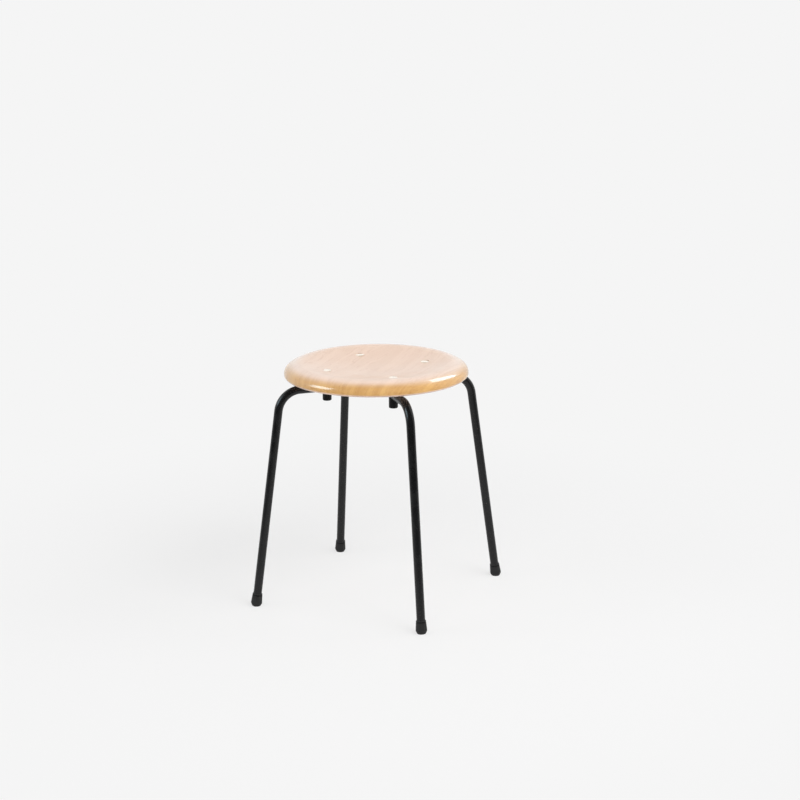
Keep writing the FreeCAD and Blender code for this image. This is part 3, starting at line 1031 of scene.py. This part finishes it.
@dataclass
class Feet:
    """The rubber feet, with the groove round each mouth, and the steel discs inside them."""

    skin_radius: float = 9.49 * MM
    groove_radius: float = 0.7 * MM
    steps_round: int = 96
    steps_across: int = 16
    join_reach: float = 0.001 * MM
    smooth_below: float = math.radians(30)
    rubber: MouldedRubber = field(default_factory=MouldedRubber)
    zinc: Finish = field(default_factory=ZincPlate)

    def ring(self, leg: Leg) -> bpy.types.Object:
        """Make the ring that cuts the groove of a foot, square to its leg.

        Args:
            leg: The leg.

        Returns:
            The ring.
        """
        bpy.ops.object.select_all(action="DESELECT")
        bpy.ops.mesh.primitive_torus_add(
            major_segments=self.steps_round, minor_segments=self.steps_across,
            major_radius=self.skin_radius, minor_radius=self.groove_radius,
        )
        ring = bpy.context.object
        stand = Matrix.Translation((self.rubber.foot_circle, 0.0, 0.0))
        lean = Matrix.Rotation(-self.rubber.leg_splay, 4, "Y")
        up = Matrix.Translation((0.0, 0.0, self.rubber.groove_height))
        ring.matrix_world = Matrix.Rotation(leg.turn, 4, "Z") @ stand @ lean @ up
        return ring

    def grooved(self, leg: Leg) -> bpy.types.Object:
        """Copy a leg's CAD foot and cut the groove in the copy.

        Args:
            leg: The leg.

        Returns:
            The foot, smooth and dressed.
        """
        ring = self.ring(leg)
        # The CAD mesh has loose seams and its own normals, and the cut needs a closed skin.
        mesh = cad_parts[leg.node("foot")].data.copy()
        foot = bpy.data.objects.new(leg.node("grooved_foot"), mesh)
        bpy.context.scene.collection.objects.link(foot)
        pick(foot)
        bpy.ops.object.mode_set(mode="EDIT")
        bpy.ops.mesh.select_all(action="SELECT")
        bpy.ops.mesh.remove_doubles(threshold=self.join_reach)
        bpy.ops.mesh.customdata_custom_splitnormals_clear()
        bpy.ops.object.mode_set(mode="OBJECT")
        bpy.ops.object.modifier_add(type="BOOLEAN")
        cut = foot.modifiers[-1]
        cut.object = ring
        cut.operation = "DIFFERENCE"
        cut.solver = "EXACT"
        bpy.ops.object.modifier_apply(modifier=cut.name)
        bpy.data.objects.remove(ring)
        bpy.ops.object.shade_smooth_by_angle(angle=self.smooth_below)
        foot.data.materials.clear()
        foot.data.materials.append(self.rubber.material())
        return foot

    def build(self) -> None:
        """Cut and dress the feet, and dress their discs."""
        for leg in Leg:
            foot = self.grooved(leg)
            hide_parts(leg.node("foot"))
            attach(foot, BODY)
            LOG.info("%s: %d faces", foot.name, len(foot.data.polygons))
            self.zinc.dress(leg.node("foot_disc"))


@dataclass(frozen=True)
class SoftBox:
    """A rectangular lamp that faces the stool: its place in degrees and metres, size and watts."""

    label: str
    azimuth: float
    elevation: float
    distance: float
    width: float
    height: float
    watts: float
    shines: bool = True
    mirrored: bool = True
    tint: Colour = DAYLIGHT
    aim: tuple[float, float, float] = (0.0, 0.0, 0.35)

    def build(self) -> None:
        """Hang the lamp, which lights the stool, is mirrored by it, or both."""
        turn, lift = math.radians(self.azimuth), math.radians(self.elevation)
        flat = math.cos(lift)
        out = Vector((math.cos(turn) * flat, math.sin(turn) * flat, math.sin(lift)))
        data = bpy.data.lights.new(self.label, "AREA")
        data.shape = "RECTANGLE"
        data.size, data.size_y = self.width, self.height
        data.energy = self.watts
        data.color = self.tint
        lamp = bpy.data.objects.new(self.label, data)
        lamp.location = Vector(self.aim) + out * self.distance
        lamp.rotation_euler = out.to_track_quat("Z", "Y").to_euler()
        lamp.visible_camera = False
        lamp.visible_diffuse = self.shines
        lamp.visible_glossy = self.mirrored
        bpy.context.scene.collection.objects.link(lamp)


@dataclass(frozen=True)
class Viewpoint:
    """The photograph's camera, from the fit of the stool's outline, feet and bolt heads.

    Its angles are in radians.
    """

    place: tuple[float, float, float] = (1.6054, -3.2185, 1.3229)
    heading: float = math.radians(25.8)
    pitch: float = 0.25575
    roll: float = -0.00719
    focal_pixels: float = 1953.28
    picture_pixels: float = 800.0
    sensor: float = 36.0
    reach: float = 200.0

    def build(self) -> None:
        """Set up the scene's camera."""
        data = bpy.data.cameras.new("view")
        data.sensor_width = self.sensor
        data.lens = self.sensor * self.focal_pixels / self.picture_pixels
        data.clip_end = self.reach
        camera = bpy.data.objects.new("view", data)
        level = Matrix.Rotation(self.heading, 4, "Z")
        turn = level @ Matrix.Rotation(math.pi / 2 - self.pitch, 4, "X")
        roll = Matrix.Rotation(self.roll, 4, "Z")
        camera.matrix_world = Matrix.Translation(self.place) @ turn @ roll
        bpy.context.scene.collection.objects.link(camera)
        bpy.context.scene.camera = camera


@dataclass
class Studio:
    """Pale floor, even surroundings, soft boxes and the camera.

    The sweep's azimuth, sides and top are in degrees, and its front is in metres.
    """

    pale: Colour = tone(245, 245, 245)
    floor_size: float = 120.0
    floor_tone: Colour = tone(244, 244, 244)
    near_glow: Colour = tone(243, 243, 243)
    shadow_share: float = 0.3
    shadow_reach: Span = (0.35, 1.2)
    fill: float = 0.3
    sweep_azimuth: float = 116.0
    sweep_sides: Span = (80.0, 120.0)
    sweep_top: Span = (60.0, 85.0)
    sweep_front: Span = (0.7, 1.7)
    room_level: float = 0.12
    sweep_level: float = 1.12
    # Azimuth, elevation, distance, width, height and watts.
    lamps: tuple[SoftBox, ...] = (
        SoftBox("front_box", -64.0, 36.0, 5.0, 4.0, 2.5, 84.0, mirrored=False),
        SoftBox("right_front_box", -15.0, 45.0, 4.0, 2.0, 2.0, 76.0, mirrored=False),
        SoftBox("right_box", 30.0, 40.0, 4.0, 1.6, 1.6, 30.0, mirrored=False),
        SoftBox("left_box", -141.0, 30.0, 3.2, 1.6, 1.4, 24.0, mirrored=False),
        SoftBox("back_box", 125.0, 9.0, 4.0, 5.0, 1.0, 36.0, mirrored=False),
        SoftBox("right_strip", 72.5, 41.0, 3.34, 0.75, 1.5, 25.0, shines=False, tint=SKYLIGHT),
        SoftBox("left_strip", -138.0, 27.0, 3.15, 1.5, 1.4, 50.0, shines=False, tint=SKYLIGHT),
    )
    view: Viewpoint = field(default_factory=Viewpoint)

    def ray_kinds(self, graph: Graph) -> tuple[Socket, Socket]:
        """Tell rays apart.

        Args:
            graph: The tree that asks.

        Returns:
            1 for a ray straight from the camera or through glass, and 1 for a reflected ray.
        """
        path = graph.node("ShaderNodeLightPath").outputs
        direct = graph.larger(path["Is Camera Ray"], path["Is Transmission Ray"])
        return direct, path["Is Glossy Ray"]

    def sweep(self, graph: Graph, way: Socket) -> Socket:
        """Tell where the pale sweep stands.

        Args:
            graph: The tree that asks.
            way: A direction, or a place seen from the middle of the floor.

        Returns:
            1 towards the sweep that bends round behind the stool, 0 past its ends.
        """
        flat = graph.vector_maths("MULTIPLY", way, (1.0, 1.0, 0.0))
        flat = graph.vector_maths("NORMALIZE", flat)
        turn = math.radians(self.sweep_azimuth)
        along = graph.measure("DOT_PRODUCT", flat, (math.cos(turn), math.sin(turn), 0.0))
        inner, outer = (math.cos(math.radians(angle)) for angle in self.sweep_sides)
        return graph.remap(along, (outer, inner))

    def surround(self) -> None:
        """Make the world: pale to the camera, a pale sweep in a dim room to mirrors, even fill."""
        world = bpy.data.worlds.new("surround")
        world.use_nodes = True
        bpy.context.scene.world = world
        graph = Graph(world.node_tree)
        direct, mirrored = self.ray_kinds(graph)
        way = graph.node("ShaderNodeTexCoord").outputs["Object"]
        low, high = (math.sin(math.radians(angle)) for angle in self.sweep_top)
        below_top = graph.remap(graph.parts(way)[2], (low, high), FULL_TO_NONE)
        sweep = graph.times(self.sweep(graph, way), below_top)
        level = graph.remap(sweep, NONE_TO_FULL, (self.room_level, self.sweep_level))
        fill, mirror, seen = (
            graph.node("ShaderNodeBackground", {"Color": colour, "Strength": strength}).outputs[0]
            for colour, strength in ((WHITE, self.fill), (self.pale, level), (self.pale, 1.0))
        )
        indirect = graph.node("ShaderNodeMixShader", {0: mirrored, 1: fill, 2: mirror})
        whole = graph.node("ShaderNodeMixShader", {0: direct, 1: indirect.outputs[0], 2: seen})
        graph.feed(world.node_tree.nodes["World Output"].inputs["Surface"], whole.outputs[0])

    def floor_skin(self) -> bpy.types.Material:
        """Make the floor's material: matt, with a glow that keeps only a share of the shadow.

        Returns:
            The material, which dims towards the front for all but the camera's rays.
        """
        skin = bpy.data.materials.new("floor_skin")
        skin.use_nodes = True
        graph = Graph(skin.node_tree)
        shader = skin.node_tree.nodes["Principled BSDF"]
        graph.feed(shader.inputs["Base Color"], self.floor_tone)
        graph.feed(shader.inputs["Roughness"], 1.0)
        graph.feed(shader.inputs["Specular IOR Level"], 0.0)
        place = graph.node("ShaderNodeTexCoord").outputs["Object"]
        away = graph.measure("LENGTH", place)
        far = graph.remap(away, self.shadow_reach)
        direct, mirrored = self.ray_kinds(graph)
        dimmed = graph.remap(away, self.sweep_front, (1.0, self.room_level))
        strength = graph.larger(graph.larger(direct, dimmed), self.sweep(graph, place))
        colour = graph.blend(far, self.near_glow, self.pale)
        glow = graph.node("ShaderNodeEmission", {"Color": colour, "Strength": strength})
        even = graph.maths("MULTIPLY_ADD", far, self.shadow_share, 1.0 - self.shadow_share)
        share = graph.times(graph.larger(direct, mirrored), even)
        feeds = {0: share, 1: shader.outputs[0], 2: glow.outputs[0]}
        mix = graph.node("ShaderNodeMixShader", feeds)
        graph.feed(skin.node_tree.nodes["Material Output"].inputs["Surface"], mix.outputs[0])
        return skin

    def floor(self) -> None:
        """Lay a floor that looks as pale as the surround."""
        bpy.ops.object.select_all(action="DESELECT")
        bpy.ops.mesh.primitive_plane_add(size=self.floor_size, location=(0.0, 0.0, 0.0))
        ground = bpy.context.object
        ground.name = "floor"
        ground.data.materials.append(self.floor_skin())

    def build(self) -> None:
        """Set up the studio."""
        bpy.context.scene.view_settings.view_transform = "Standard"
        self.surround()
        self.floor()
        for lamp in self.lamps:
            lamp.build()
        self.view.build()
        LOG.info("studio: %d soft boxes", len(self.lamps))


def main() -> None:
    """Dress the stool from the seat down, then build the studio round it."""
    logging.basicConfig(level=logging.INFO, format="%(name)s: %(message)s")
    for group in (Seat(), Frame(), SeatFixings(), Feet(), Studio()):
        group.build()


if __name__ == "__main__":
    main()
